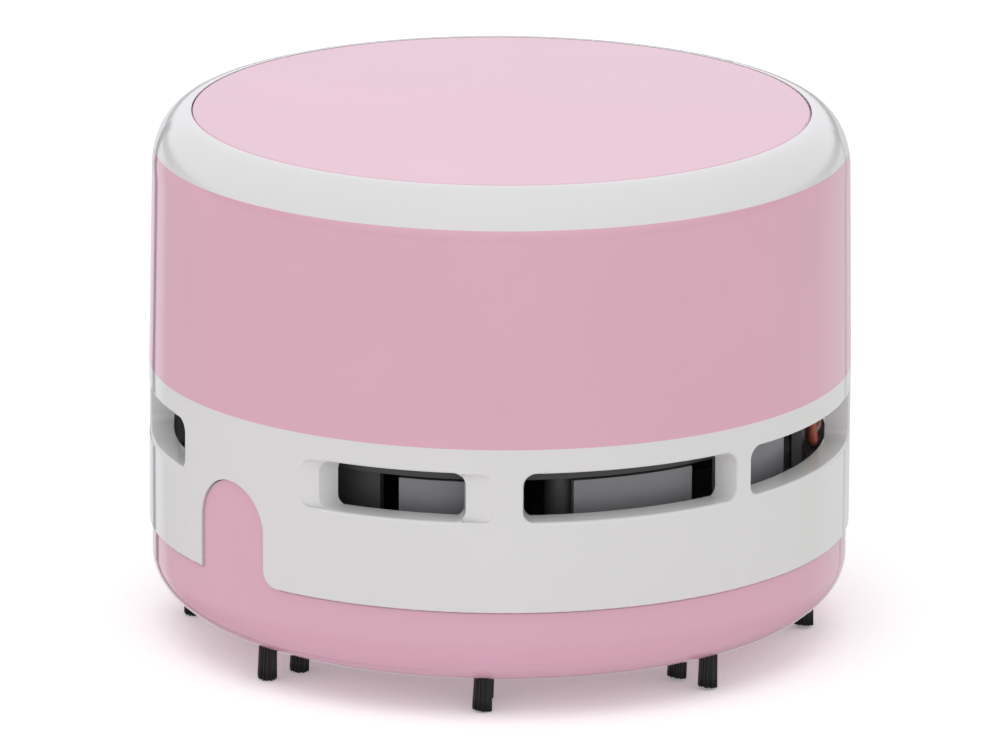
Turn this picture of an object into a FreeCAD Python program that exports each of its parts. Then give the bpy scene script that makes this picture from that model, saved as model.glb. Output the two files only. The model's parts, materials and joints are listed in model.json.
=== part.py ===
import FreeCAD, Part

import math
import os

# Desktop mini vacuum cleaner, in millimetres. The origin is at the middle of the plane on which
# the bristle tips stand, +Z is up, the two release tabs are on -X and +X, and the slide switch is
# on the +Y side. Azimuths are in degrees from -Y towards +X.

os.makedirs("parts", exist_ok=True)
Vec = FreeCAD.Vector
UP = Vec(0, 0, 1)
FULL_TURN = 360
HALF_TURN = 180
QUARTER_TURN = 90
DIAGONAL = math.sqrt(0.5)

# Heights of the stack, from the bristle tips up
bristle_height = 3.3
base_height = 10.4
shell_height = 20.1
band_height = 26.5
cap_height = 4.4

# Clearances
slip_gap = 0.2
screw_gap = 0.05
shaft_gap = 0.03
seat_gap = 0.3
loose_gap = 0.4
overrun = 1.0

# Case
case_corner_room = 7.37282
band_draft = 0.4
shoulder_width = 4.7
shoulder_rise = 6.8
shell_wall = 3.0
shell_edge_radius = 0.2
neck_wall = 1.8
neck_height = 4.2
deck_ledge_drop = 0.8
band_wall = 2.1
cap_skirt_height = 8.3
cap_skirt_wall = 2.0

# Lid of the battery bay
lid_gap = 0.1
lid_thickness = 1.6
lid_edge_radius = 0.25
lid_rim_land = 0.1
lid_ledge_width = 2.1
lid_ledge_thickness = 1.8
lid_skirt_height = 3.0
lid_skirt_wall = 1.4
nail_notch_radius = 4.0
nail_notch_depth = 1.2

# Dust base
base_step = 0.35
base_edge_chamfer = 0.2
base_corner_width = 8.8
base_corner_rise = 6.4
base_wall = 2.0
base_floor = 1.6
spigot_height = 2.8
spigot_wall = 1.6
mouth_radius = 9.0
mouth_flare = 1.2
nozzle_wall = 1.4
nozzle_gap = 2.7
nozzle_flange_width = 3.0
nozzle_flange_thickness = 0.8

# Bristles
tuft_radius = 1.15
tuft_count = 8
tuft_phase = 1.2
outer_tuft_inset = 4.95
tuft_circle_step = 5.2
tuft_depth = 1.5
tuft_seat_width = 3.6
tuft_seat_cover = 1.0

# Release tabs
tab_width = 11.3
tab_height = 11.9
tab_thickness = 2.0
tab_side_gap = 0.12
tab_root_gap = 0.05
tab_root_fillet = 2.2

# Vents: azimuth of both ends of the mouth, how far the wall at each end leans in towards the
# opening, and how far the shallow scoop at each end runs before that wall, nothing for no scoop.
# The list covers one half of the case, and the other half repeats it.
vent_low = 11.1
vent_high = 17.1
vent_sill_rise = 0.15
vent_scoop_depth = 0.6
vent_top_corner = 1.6
vent_bottom_corner = 1.3
vent_lip_radius = 0.35
vent_lip_tolerance = 0.03
vent_lip_samples_share = (0.1, 0.5, 0.9)
vent_angles = (
    (-74.6, -42.0, 2.1, 0.75, 2.6, 4.35),
    (-37.3, 0.5, 0.4, 1.3, 0, 0),
    (3.6, 43.2, 0.4, 0.6, 0, 0),
    (47.2, 76.6, 0.4, 1.2, 0, 0),
)

# Inlet plate with its guard panels
plate_height = 4.7
plate_thickness = 1.6
eye_radius = 13.0
panel_inset = 2.4
panel_thickness = 1.2
panel_rise = 8.3
panel_angles = ((-59.7, -36.6), (-27.4, -3.2), (3.6, 25.4), (37.5, 59.0))
plate_skirt_wall = 1.8

# Filter
filter_frame_width = 3.8
filter_frame_height = 4.0
filter_bar_width = 1.6
filter_bar_height = 1.0
filter_bar_count = 3
filter_hub_radius = 5.0
filter_cloth = 0.4

# Motor deck
deck_thickness = 2.0
collar_wall = 1.4
collar_height = 7.0
deck_skirt_gap = 0.3
pocket_wall = 1.2
pocket_half_angle = 25.8
lead_notch_radius = 1.1

# Case screws and the posts that they run through
post_inset = 5.7
post_angle = 29.0
post_radius = 2.4
pillar_radius = 1.9
post_rib_width = 1.6
post_rib_height = 11.0
case_screw_radius = 1.0
case_screw_length = 30.0
screw_head_radius = 1.8
screw_head_height = 1.2
screw_drive_width = 0.5
screw_drive_reach_share = 0.6
screw_drive_depth_share = 0.5
screw_head_round_share = 1 / 3
screw_tip_chamfer_share = 1 / 3

# Motor
can_radius = 10.05
can_flat_cut = 2.5
can_length = 20.0
can_wall = 0.8
nose_radius = 3.1
nose_length = 1.6
bush_radius = 2.4
bush_length = 3.6
end_cap_length = 4.5
shaft_radius = 1.0
shaft_tail = 3.0
magnet_thickness = 2.2
magnet_length = 14.5
magnet_gap = 0.4
armature_length = 10.0
armature_slot = 2.2
armature_slot_depth = 3.0
armature_poles = 3
commutator_radius = 2.4
commutator_length = 3.5
terminal_width = 2.2
terminal_thickness = 0.5
terminal_rise = 2.4
terminal_depth = 2.0
terminal_inset = 2.0
motor_screw_spread = 6.0
motor_screw_radius = 1.0
motor_screw_grip = 0.7
motor_screw_head = 1.8
motor_screw_head_height = 0.3

# Impeller
impeller_post_gap = 2.2
impeller_disc = 1.2
impeller_hub_radius = 4.0
impeller_hub_rise = 0.3
impeller_deck_gap = 0.6
blade_height = 7.2
blade_thickness = 1.0
blade_inner_radius = 9.5
blade_tip_inset = 1.0
blade_sweep = 36.0
blade_bow = 14.0
blade_count = 8

# Cells and their tray
cell_radius = 7.25
cell_length = 49.2
nub_radius = 2.75
nub_length = 1.3
motor_lane = 1.4
cell_lid_gap = 3.2
cell_edge_radius = 0.4
tray_gap = 0.2
tray_wall = 1.2
tray_floor = 1.2
tray_rise = 4.0
tray_end_rise = 6.0
tray_leg_width = 6.8
tray_case_gap = 0.5
contact_thickness = 0.3
contact_width = 10.0
contact_height = 9.0
contact_pad_radius = 2.4
contact_tip_radius = 1.2
contact_bed = 0.9
contact_tag = 1.1
contact_tag_width = 2.4
contact_tag_drop = 4.3

# Slide switch
switch_rise = 12.7
switch_travel = 4.0
switch_window_height = 5.6
switch_window_margin = 0.15
switch_window_corner = 1.0
knob_width = 5.4
knob_recess = 0.45
knob_corner_radius = 0.8
knob_groove_count = 4
knob_groove_depth = 1.0
knob_groove_share = 0.5
knob_flange_overlap = 1.6
knob_flange_thickness = 0.8
knob_peg = 1.6
knob_peg_length = 1.4
switch_pad_depth = 1.6
switch_pad_half_width = 12.5
switch_pad_height = 10.0
switch_post_spread = 10.6
switch_post_radius = 1.5
switch_post_height = 1.4
switch_plate_thickness = 0.6
switch_body_width = 15.0
switch_body_depth = 5.0
switch_body_height = 6.0
switch_screw_radius = 0.7
switch_screw_length = 2.6
switch_screw_head = 1.2
switch_screw_head_height = 0.6
switch_pin_spread = 4.0
switch_pin_width = 1.2
switch_pin_thickness = 0.4
switch_pin_length = 2.0
switch_pin_count = 3

# Leads
lead_radius = 0.55
lead_bend = 1.8
lead_bend_share = 0.45
lead_dip_angles = (36.5, 50.0)
lead_dip_inset = 1.0
lead_dip_height = 11.2
lead_lane_gap = 0.6
blue_lead_turn = 20.0
battery_lead_angles = (-120, -140, -160)
motor_lead_angles = (160, 139, 118, 97, 76)

# Levels
base_bottom = bristle_height
parting = base_bottom + base_height
shell_top = parting + shell_height
band_top = shell_top + band_height
case_top = band_top + cap_height
can_flat = can_radius - can_flat_cut
tray_inner_side = can_flat + motor_lane
cell_spread = tray_inner_side + tray_wall + tray_gap + cell_radius
cell_half = cell_length / 2 + nub_length / 2
case_radius = math.hypot(cell_half, cell_spread + cell_radius) + case_corner_room
base_radius = case_radius - base_step
shell_bore = case_radius - shell_wall
neck_radius = case_radius - band_wall - slip_gap
neck_bore = neck_radius - neck_wall
band_bore = case_radius - band_wall
vent_bottom = parting + vent_low
vent_top = parting + vent_high
deck_top = shell_top - deck_ledge_drop
deck_bottom = deck_top - deck_thickness
deck_radius = shell_bore - slip_gap
panel_radius = shell_bore - panel_inset
pocket_radius = panel_radius - panel_thickness
post_circle = shell_bore - post_inset
impeller_radius = post_circle - post_radius - impeller_post_gap
lead_dip_circle = shell_bore - lead_dip_inset
outer_tuft_circle = base_radius - outer_tuft_inset
inner_tuft_circle = outer_tuft_circle - tuft_circle_step
nozzle_radius = mouth_radius + nozzle_wall
nozzle_flange_radius = nozzle_radius + nozzle_flange_width
plate_bottom = parting + plate_height
plate_top = plate_bottom + plate_thickness
panel_top = plate_top + panel_rise
lid_bottom = case_top - lid_thickness
lid_pocket_radius = case_radius - band_draft - shoulder_width - lid_rim_land
lid_radius = lid_pocket_radius - lid_gap
ledge_bore = lid_pocket_radius - lid_ledge_width
ledge_bottom = lid_bottom - lid_ledge_thickness
spigot_radius = shell_bore - slip_gap
spigot_bore = spigot_radius - spigot_wall
spigot_top = parting + spigot_height
floor_top = base_bottom + base_floor
motor_bottom = deck_top
can_top = motor_bottom + can_length
end_cap_top = can_top + end_cap_length
cell_height = lid_bottom - cell_lid_gap - cell_radius
tray_inside = cell_half + contact_bed + contact_thickness
tray_outside = tray_inside + tray_wall
tray_outer_side = cell_spread + cell_radius + tray_gap + tray_wall
tray_bottom = cell_height - cell_radius - tray_gap - tray_floor
tray_radius = neck_bore - tray_case_gap
contact_face = tray_inside - contact_thickness
post_places = tuple(side + way for side in (0, HALF_TURN) for way in (-post_angle, post_angle))


def polar(radius, azimuth, height=0):
    """Point at a radius and an azimuth, at a height."""
    angle = math.radians(azimuth)
    return Vec(radius * math.sin(angle), -radius * math.cos(angle), height)


def rod(radius, low, high, place=Vec(0, 0, 0)):
    """Upright cylinder between two heights."""
    return Part.makeCylinder(radius, high - low, Vec(place.x, place.y, low))


def tube(outer, inner, low, high, place=Vec(0, 0, 0)):
    """Upright ring between two heights."""
    bore = rod(inner, low - overrun, high + overrun, place)
    return rod(outer, low, high, place).cut(bore)


def block(low_corner, high_corner):
    """Box between two corners, each an (x, y, z)."""
    size = [high - low for low, high in zip(low_corner, high_corner)]
    return Part.makeBox(size[0], size[1], size[2], Vec(*low_corner))


def turned_about_z(shape, azimuth):
    """Copy of a shape turned about the case's axis."""
    copy = shape.copy()
    copy.rotate(Vec(0, 0, 0), UP, azimuth)
    return copy


def union(shapes):
    """One solid from shapes that touch or overlap."""
    joined = shapes[0].multiFuse(shapes[1:]) if len(shapes) > 1 else shapes[0]
    return joined.removeSplitter()


def without(shape, cutters):
    """The shape less all the cutters."""
    return shape.cut(Part.makeCompound(cutters)) if cutters else shape


def edge(start, end):
    """Straight edge of a turned profile, between two (radius, height) points."""
    return Part.LineSegment(Vec(start[0], 0, start[1]), Vec(end[0], 0, end[1])).toShape()


def quarter(centre, across, rise):
    """Quarter ellipse of a turned profile, from beside its centre to above or below it."""
    middle = Vec(centre[0], 0, centre[1])
    beside = Vec(centre[0] + across, 0, centre[1])
    above = Vec(centre[0], 0, centre[1] + rise)
    if math.isclose(abs(across), abs(rise)):
        halfway = middle + Vec(across * DIAGONAL, 0, rise * DIAGONAL)
        return Part.Arc(beside, halfway, above).toShape()
    wide = abs(across) > abs(rise)
    ellipse = Part.Ellipse(beside, above, middle) if wide else Part.Ellipse(above, beside, middle)
    return Part.ArcOfEllipse(ellipse, 0, math.pi / 2).toShape()


def revolve(edges):
    """Solid of revolution about the case's axis from the edges of a closed profile."""
    wire = Part.Wire(Part.__sortEdges__(edges))
    return Part.Face(wire).revolve(Vec(0, 0, 0), UP, FULL_TURN)


def chain(points):
    """Straight edges through (radius, height) points."""
    return [edge(a, b) for a, b in zip(points, points[1:])]


def sector(outer, inner, start, end, low, high):
    """Part of an upright ring between two azimuths."""
    middle = (start + end) / 2
    corners = [polar(radius, azimuth) for radius in (outer, inner) for azimuth in (start, end)]
    rim = Part.Arc(corners[0], polar(outer, middle), corners[1]).toShape()
    bore = Part.Arc(corners[3], polar(inner, middle), corners[2]).toShape()
    sides = [Part.makeLine(corners[1], corners[3]), Part.makeLine(corners[2], corners[0])]
    face = Part.Face(Part.Wire([rim, sides[0], bore, sides[1]]))
    solid = face.extrude(Vec(0, 0, high - low))
    solid.translate(Vec(0, 0, low))
    return solid


def edges_at(shape, points):
    """The edge of the shape that passes nearest to each point."""
    found = []
    for point in points:
        vertex = Part.Vertex(point)
        found.append(min(shape.Edges, key=lambda item: item.distToShape(vertex)[0]))
    return found


def envelope():
    """Outer form of the case from the parting line to the lid, as one solid."""
    shoulder_low = case_top - shoulder_rise
    band_radius = case_radius - band_draft
    points = [(0, case_top), (0, parting), (case_radius, parting), (case_radius, shell_top),
              (band_radius, shoulder_low)]
    shoulder_centre = (band_radius - shoulder_width, shoulder_low)
    edges = chain(points) + [quarter(shoulder_centre, shoulder_width, shoulder_rise)]
    edges.append(edge((shoulder_centre[0], case_top), (0, case_top)))
    return revolve(edges)


def screw(radius, length, head_radius, head_height):
    """Pan-head screw with a cross drive, its head's seat at z = 0 and its shank upwards."""
    head = rod(head_radius, -head_height, 0)
    rim = edges_at(head, [Vec(0, head_radius, -head_height)])
    head = head.makeFillet(head_height * screw_head_round_share, rim)
    shank = rod(radius, 0, length)
    tip = edges_at(shank, [Vec(0, radius, length)])
    shank = shank.makeChamfer(radius * screw_tip_chamfer_share, tip)
    reach = head_radius * screw_drive_reach_share
    half = screw_drive_width / 2
    depth = head_height * screw_drive_depth_share
    bars = []
    for along, across in ((reach, half), (half, reach)):
        bars.append(block((-along, -across, -head_height - overrun),
                          (along, across, -head_height + depth)))
    return without(union([head, shank]), bars)


def tab_outline(gap):
    """Outline of a release tab in the (y, z) plane, grown by a gap, as a face."""
    half = tab_width / 2 + gap
    arch_centre = parting + tab_height - tab_width / 2
    fillet = tab_root_fillet - gap
    fillet_centre = Vec(0, -tab_width / 2 - tab_root_fillet, parting + tab_root_fillet)
    root = parting - overrun
    low_left = Vec(0, half, root)
    high_left = Vec(0, half, arch_centre)
    crown = Vec(0, 0, arch_centre + half)
    high_right = Vec(0, -half, arch_centre)
    flare_high = Vec(0, -half, fillet_centre.z)
    flare_middle = fillet_centre + Vec(0, fillet * DIAGONAL, -fillet * DIAGONAL)
    flare_low = Vec(0, fillet_centre.y, fillet_centre.z - fillet)
    foot = Vec(0, fillet_centre.y, root)
    edges = [
        Part.makeLine(low_left, high_left),
        Part.Arc(high_left, crown, high_right).toShape(),
        Part.makeLine(high_right, flare_high),
        Part.Arc(flare_high, flare_middle, flare_low).toShape(),
        Part.makeLine(flare_low, foot),
        Part.makeLine(foot, low_left),
    ]
    return Part.Face(Part.Wire(edges))


def tab_prism(gap):
    """The tab's outline run outwards through the wall on the -X side."""
    prism = tab_outline(gap).extrude(Vec(-shell_wall - base_step - overrun * 2, 0, 0))
    prism.translate(Vec(-shell_bore + overrun * 2, 0, 0))
    return prism


def release_tab():
    """Tongue on the -X side that is pressed in to free the base."""
    wall = tube(base_radius, base_radius - tab_thickness, parting + tab_root_gap, shell_top)
    prism = tab_outline(0).extrude(Vec(-case_radius - overrun, 0, 0))
    return wall.common(prism)


def base_corner():
    """Radius and height of the centre of the base's rounded lower corner."""
    return (base_radius - base_corner_width, base_bottom + base_corner_rise)


def base_outside(bore):
    """Outer profile of the base, from a bore in its floor to the middle of its side."""
    corner = base_corner()
    return chain([(bore, base_bottom), (corner[0], base_bottom)]) + [
        quarter(corner, base_corner_width, -base_corner_rise)]


def dust_base():
    """Bowl that catches the crumbs, with its spigot and the seats of the bristle tufts."""
    corner = base_corner()
    bore = nozzle_radius + screw_gap
    inner_across = base_corner_width - base_wall
    inner_rise = base_corner_rise - base_floor
    rim = chain([
        (base_radius, corner[1]), (base_radius, parting - base_edge_chamfer),
        (base_radius - base_edge_chamfer, parting), (spigot_radius, parting),
        (spigot_radius, spigot_top), (spigot_bore, spigot_top), (spigot_bore, parting - base_wall),
        (corner[0] + inner_across, corner[1])])
    inner = [quarter(corner, inner_across, -inner_rise)]
    floor = chain([(corner[0], floor_top), (bore, floor_top), (bore, base_bottom)])
    bowl = revolve(base_outside(bore) + rim + inner + floor)
    outside = revolve(base_outside(bore) + chain([
        (base_radius, corner[1]), (bore, corner[1]), (bore, base_bottom)]))
    parts = [bowl]
    holes = []
    half_seat = tuft_seat_width / 2
    for circle in (outer_tuft_circle, inner_tuft_circle):
        places = tuft_places(circle)
        seat = tube(circle + half_seat, circle - half_seat, base_bottom, places[0][1] + tuft_seat_cover)
        parts.append(seat.common(outside))
        holes += [rod(tuft_radius + screw_gap, 0, top + screw_gap, place) for place, top in places]
    return without(union(parts), holes)


def suction_nozzle():
    """Short pipe pressed into the base's floor, with its flared mouth and its flange."""
    nozzle_top = filter_bottom() - nozzle_gap
    flange_top = floor_top + nozzle_flange_thickness
    return revolve(chain([
        (mouth_radius + mouth_flare, base_bottom), (nozzle_radius, base_bottom),
        (nozzle_radius, floor_top), (nozzle_flange_radius, floor_top),
        (nozzle_flange_radius, flange_top), (nozzle_radius, flange_top), (nozzle_radius, nozzle_top),
        (mouth_radius, nozzle_top), (mouth_radius, base_bottom + mouth_flare),
        (mouth_radius + mouth_flare, base_bottom)]))


def tuft_places(circle):
    """Where the tufts of one circle stand, with the height that each reaches."""
    corner = base_corner()
    share = max(0, circle - corner[0]) / base_corner_width
    skin = corner[1] - base_corner_rise * math.sqrt(1 - share ** 2)
    step = FULL_TURN / tuft_count
    return [(polar(circle, tuft_phase + step * k), skin + tuft_depth) for k in range(tuft_count)]


def tufts(circle):
    """Bristle tufts of one circle, cut level at their tips."""
    return Part.makeCompound([rod(tuft_radius, 0, top, place) for place, top in tuft_places(circle)])


def vent_prism(start, end, lean_start, lean_end):
    """Prism through the wall with rounded corners, and ends that lean in."""
    reach = overrun / shell_wall
    ends = []
    for mouth, opening in ((start, start + lean_start), (end, end - lean_end)):
        outside = polar(case_radius, mouth)
        inside = polar(shell_bore, opening)
        way = outside - inside
        ends.append((inside - way * reach, outside + way * reach))
    middle = (start + end) / 2
    bore_middle = polar(shell_bore - overrun, middle)
    rim_middle = polar(case_radius + overrun, middle)
    edges = [
        Part.Arc(ends[0][1], rim_middle, ends[1][1]).toShape(),
        Part.makeLine(ends[1][1], ends[1][0]),
        Part.Arc(ends[1][0], bore_middle, ends[0][0]).toShape(),
        Part.makeLine(ends[0][0], ends[0][1]),
    ]
    prism = Part.Face(Part.Wire(edges)).extrude(Vec(0, 0, vent_top - vent_bottom))
    prism.translate(Vec(0, 0, vent_bottom))
    for height, radius in ((vent_top, vent_top_corner), (vent_bottom, vent_bottom_corner)):
        points = [(inner + outer) / 2 + Vec(0, 0, height) for inner, outer in ends]
        prism = prism.makeFillet(radius, edges_at(prism, points))
    return prism


def vent_scoop(mouth, scoop, lean):
    """Wedge that slopes from a vent's end down to the knee where its wall drops in."""
    wall_outside = polar(case_radius, mouth + scoop)
    wall_inside = polar(shell_bore, mouth + scoop + lean)
    knee = wall_outside + (wall_inside - wall_outside) * (vent_scoop_depth / shell_wall)
    rim = polar(case_radius, mouth)
    corners = [rim + (rim - knee).normalize() * overrun, knee,
               polar(case_radius - vent_scoop_depth, mouth + scoop + lean),
               polar(case_radius + overrun, mouth + scoop + lean)]
    wedge = Part.Face(Part.makePolygon(corners + corners[:1])).extrude(Vec(0, 0, vent_top - vent_bottom))
    wedge.translate(Vec(0, 0, vent_bottom))
    return wedge


def vent_opening(start, end, lean_start, lean_end, scoop_start, scoop_end):
    """Cutter of one vent's opening, with its rising sill and without its scoops."""
    prism = vent_prism(start + scoop_start, end - scoop_end, lean_start, lean_end)
    slope = vent_sill_rise / shell_wall
    deep = shell_bore - overrun * 2
    sill = revolve(chain([
        (case_radius, vent_bottom), (deep, vent_bottom + (case_radius - deep) * slope),
        (deep, vent_bottom - overrun), (case_radius, vent_bottom - overrun),
        (case_radius, vent_bottom)]))
    return prism.cut(sill)


def vent_scoops(start, end, lean_start, lean_end, scoop_start, scoop_end):
    """Cutters of one vent's scoops, at the ends that have one."""
    mouth = vent_prism(start, end, 0, 0)
    ends = ((start, scoop_start, lean_start), (end, -scoop_end, -lean_end))
    return [vent_scoop(*item).common(mouth) for item in ends if item[1]]


def lower_shell():
    """White lower case with its vents, its tab notches and the neck that the band slips over."""
    shell = revolve(chain([
        (shell_bore, parting), (case_radius, parting), (case_radius, shell_top),
        (neck_radius, shell_top), (neck_radius, shell_top + neck_height),
        (neck_bore, shell_top + neck_height), (neck_bore, deck_top), (shell_bore, deck_top),
        (shell_bore, parting)]))
    openings = [vent_opening(*vent) for vent in vent_angles]
    cutters = openings + [turned_about_z(item, HALF_TURN) for item in openings]
    notch = tab_prism(tab_side_gap)
    cutters += [notch, turned_about_z(notch, HALF_TURN)]
    for azimuth in lead_dip_angles:
        cutters.append(rod(lead_notch_radius, deck_bottom, shell_top + neck_height + overrun,
                           polar(lead_dip_circle, azimuth)))
    shell = without(shell, cutters)
    lips = [item for item in shell.Edges if is_vent_lip(item)]
    shell = shell.makeFillet(vent_lip_radius, lips)
    scoops = [item for vent in vent_angles for item in vent_scoops(*vent)]
    centre = (case_radius - shell_edge_radius, parting + shell_edge_radius)
    outside = case_radius + overrun
    corner = chain([(case_radius, centre[1]), (outside, centre[1]), (outside, parting - overrun),
                    (centre[0], parting - overrun), (centre[0], parting)])
    corner.append(quarter(centre, shell_edge_radius, -shell_edge_radius))
    cutters = scoops + [turned_about_z(item, HALF_TURN) for item in scoops]
    return without(shell, cutters + [revolve(corner)])


def is_vent_lip(item):
    """Whether an edge of the shell lies on its outside, round a vent."""
    box = item.BoundBox
    if box.ZMin < vent_bottom - overrun or box.ZMax > vent_top + overrun:
        return False
    low, high = item.ParameterRange
    points = [item.valueAt(low + (high - low) * share) for share in vent_lip_samples_share]
    return all(abs(math.hypot(point.x, point.y) - case_radius) < vent_lip_tolerance for point in points)


def window_prism():
    """Rounded window of the switch, run outwards on the +Y side."""
    half_width = (knob_width + switch_travel) / 2 + switch_window_margin
    half_height = switch_window_height / 2
    middle = switch_middle()
    near = band_bore - switch_pad_depth - overrun
    prism = block((-half_width, near, middle - half_height),
                  (half_width, case_radius + overrun, middle + half_height))
    corners = [item for item in prism.Edges
               if abs(item.Vertexes[0].Y - item.Vertexes[-1].Y) > overrun]
    return prism.makeFillet(switch_window_corner, corners)


def switch_middle():
    """Height of the switch's middle."""
    return shell_top + switch_rise


def pad_face():
    """Distance of the flat inner face of the switch's pad from the case's axis."""
    return band_bore - switch_pad_depth


def body_band():
    """Pink sleeve between the vented shell and the cap ring, with the switch's window."""
    slab = rod(case_radius + overrun, shell_top, band_top)
    band = envelope().common(slab).cut(rod(band_bore, shell_top - overrun, band_top + overrun))
    middle = switch_middle()
    pad = block((-switch_pad_half_width, pad_face(), middle - switch_pad_height / 2),
                (switch_pad_half_width, case_radius, middle + switch_pad_height / 2))
    pad = pad.common(rod(band_bore + band_wall / 2, shell_top, band_top))
    posts = []
    pilots = []
    for side in (-1, 1):
        foot = Vec(side * switch_post_spread, pad_face() - switch_post_height, middle)
        posts.append(Part.makeCylinder(switch_post_radius, switch_post_height + overrun,
                                       foot, Vec(0, 1, 0)))
        pilots.append(Part.makeCylinder(switch_screw_radius + screw_gap,
                                        switch_screw_length - switch_plate_thickness + screw_gap,
                                        foot, Vec(0, 1, 0)))
    band = union([band, pad] + posts)
    return without(band, [window_prism()] + pilots)


def cap_ring():
    """White shoulder ring that frames the lid, with the four posts for the case screws."""
    slab = rod(case_radius + overrun, band_top, case_top)
    ring = envelope().common(slab)
    ring = ring.cut(rod(lid_pocket_radius, lid_bottom, case_top + overrun))
    ring = ring.cut(rod(ledge_bore, band_top - overrun, case_top + overrun))
    recess = tube(neck_radius - cap_skirt_wall, ledge_bore - overrun, band_top - overrun, ledge_bottom)
    ring = ring.cut(recess)
    skirt = tube(neck_radius, neck_radius - cap_skirt_wall, band_top - cap_skirt_height,
                 ledge_bottom)
    post_top = lid_bottom - lid_skirt_height - slip_gap
    parts = [ring, skirt]
    pilots = []
    for azimuth in post_places:
        place = polar(post_circle, azimuth)
        parts.append(rod(post_radius, deck_top, post_top, place))
        rib = block((-post_rib_width / 2, -neck_radius + cap_skirt_wall / 2,
                     ledge_bottom - post_rib_height),
                    (post_rib_width / 2, -post_circle - post_radius / 2, ledge_bottom))
        parts.append(turned_about_z(rib, azimuth))
        pilot_top = plate_bottom + case_screw_length + overrun
        pilots.append(rod(case_screw_radius + screw_gap, deck_top - overrun, pilot_top, place))
    ring = union(parts)
    notch = Part.makeSphere(nail_notch_radius,
                            Vec(0, lid_pocket_radius, case_top + nail_notch_radius - nail_notch_depth))
    return without(ring, pilots + [notch])


def top_lid():
    """Pink disc that closes the battery bay."""
    disc = rod(lid_radius, lid_bottom, case_top)
    disc = disc.makeFillet(lid_edge_radius, edges_at(disc, [Vec(0, lid_radius, case_top)]))
    skirt_radius = ledge_bore - slip_gap
    skirt = tube(skirt_radius, skirt_radius - lid_skirt_wall, lid_bottom - lid_skirt_height,
                 lid_bottom + lid_thickness / 2)
    return union([disc, skirt])


def motor_deck():
    """Dark plate over the fan, with the motor's collar, screw posts and tab pocket walls."""
    parts = [rod(deck_radius, deck_bottom, deck_top)]
    collar = block((-can_radius - collar_wall, -can_flat - collar_wall, deck_top - deck_thickness / 2),
                   (can_radius + collar_wall, can_flat + collar_wall, deck_top + collar_height))
    parts.append(collar)
    for azimuth in post_places:
        parts.append(rod(pillar_radius, plate_top, deck_top, polar(post_circle, azimuth)))
    for side in (-QUARTER_TURN, QUARTER_TURN):
        parts.append(sector(pocket_radius, pocket_radius - pocket_wall, side - pocket_half_angle,
                            side + pocket_half_angle, plate_top + seat_gap,
                            deck_top - deck_thickness / 2))
    parts.append(tube(panel_radius, pocket_radius, panel_top + deck_skirt_gap,
                      deck_top - deck_thickness / 2))
    deck = union(parts)
    cutters = [block((-can_radius - slip_gap, -can_flat - slip_gap, deck_top),
                     (can_radius + slip_gap, can_flat + slip_gap, deck_top + collar_height + overrun)),
               rod(nose_radius + slip_gap, deck_bottom - overrun, deck_top + overrun)]
    for azimuth in post_places:
        cutters.append(rod(case_screw_radius + slip_gap, plate_top - overrun, deck_top + overrun,
                           polar(post_circle, azimuth)))
    for side in (-1, 1):
        cutters.append(rod(motor_screw_radius + screw_gap, deck_bottom - overrun, deck_top + overrun,
                           Vec(side * motor_screw_spread, 0, 0)))
    for azimuth in lead_dip_angles:
        cutters.append(rod(lead_notch_radius, deck_bottom - overrun, deck_top + overrun,
                           polar(lead_dip_circle, azimuth)))
    return without(deck, cutters)


def inlet_plate():
    """Light grey plate under the fan, with its eye, filter skirt and upright guard panels."""
    parts = [rod(deck_radius, plate_bottom, plate_top)]
    half_turns = (0, HALF_TURN)
    for start, end in panel_angles:
        for turn in half_turns:
            parts.append(sector(panel_radius, pocket_radius, start + turn, end + turn,
                                plate_bottom + plate_thickness / 2, panel_top))
    skirt_radius = filter_frame_bore() - slip_gap
    parts.append(tube(skirt_radius, skirt_radius - plate_skirt_wall,
                      cloth_top() + seat_gap, plate_bottom + plate_thickness / 2))
    plate = union(parts)
    cutters = [rod(eye_radius, plate_bottom - overrun, plate_top + overrun)]
    for azimuth in post_places:
        place = polar(post_circle, azimuth)
        cutters.append(rod(case_screw_radius + slip_gap, plate_bottom - overrun,
                           plate_top + overrun, place))
        cutters.append(rod(screw_head_radius + slip_gap, cloth_top(), plate_bottom, place))
    return without(plate, cutters)


def filter_frame_radius():
    """Outer radius of the filter frame, inside the base's spigot."""
    return spigot_bore - loose_gap


def filter_frame_bore():
    """Inner radius of the filter frame's rim."""
    return filter_frame_radius() - filter_frame_width


def filter_bottom():
    """Underside of the filter frame, hung under the inlet plate."""
    return plate_bottom - seat_gap - filter_frame_height


def cloth_top():
    """Upper face of the filter cloth."""
    return filter_bottom() + filter_bar_height + filter_cloth


def filter_frame():
    """White ring with bars that hold the filter cloth."""
    low = filter_bottom()
    bar_top = low + filter_bar_height
    parts = [tube(filter_frame_radius(), filter_frame_bore(), low, low + filter_frame_height),
             rod(filter_hub_radius, low, bar_top)]
    reach = filter_frame_bore() + filter_frame_width / 2
    bar = block((-reach, -filter_bar_width / 2, low), (reach, filter_bar_width / 2, bar_top))
    step = HALF_TURN / filter_bar_count
    parts += [turned_about_z(bar, step * k) for k in range(filter_bar_count)]
    frame = union(parts)
    pockets = [rod(screw_head_radius + loose_gap, low + filter_bar_height, plate_bottom,
                   polar(post_circle, azimuth)) for azimuth in post_places]
    return without(frame, pockets)


def filter_cloth_disc():
    """Disc of filter cloth on the frame's bars."""
    low = filter_bottom() + filter_bar_height
    return rod(filter_frame_bore() - slip_gap, low, low + filter_cloth)


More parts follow.
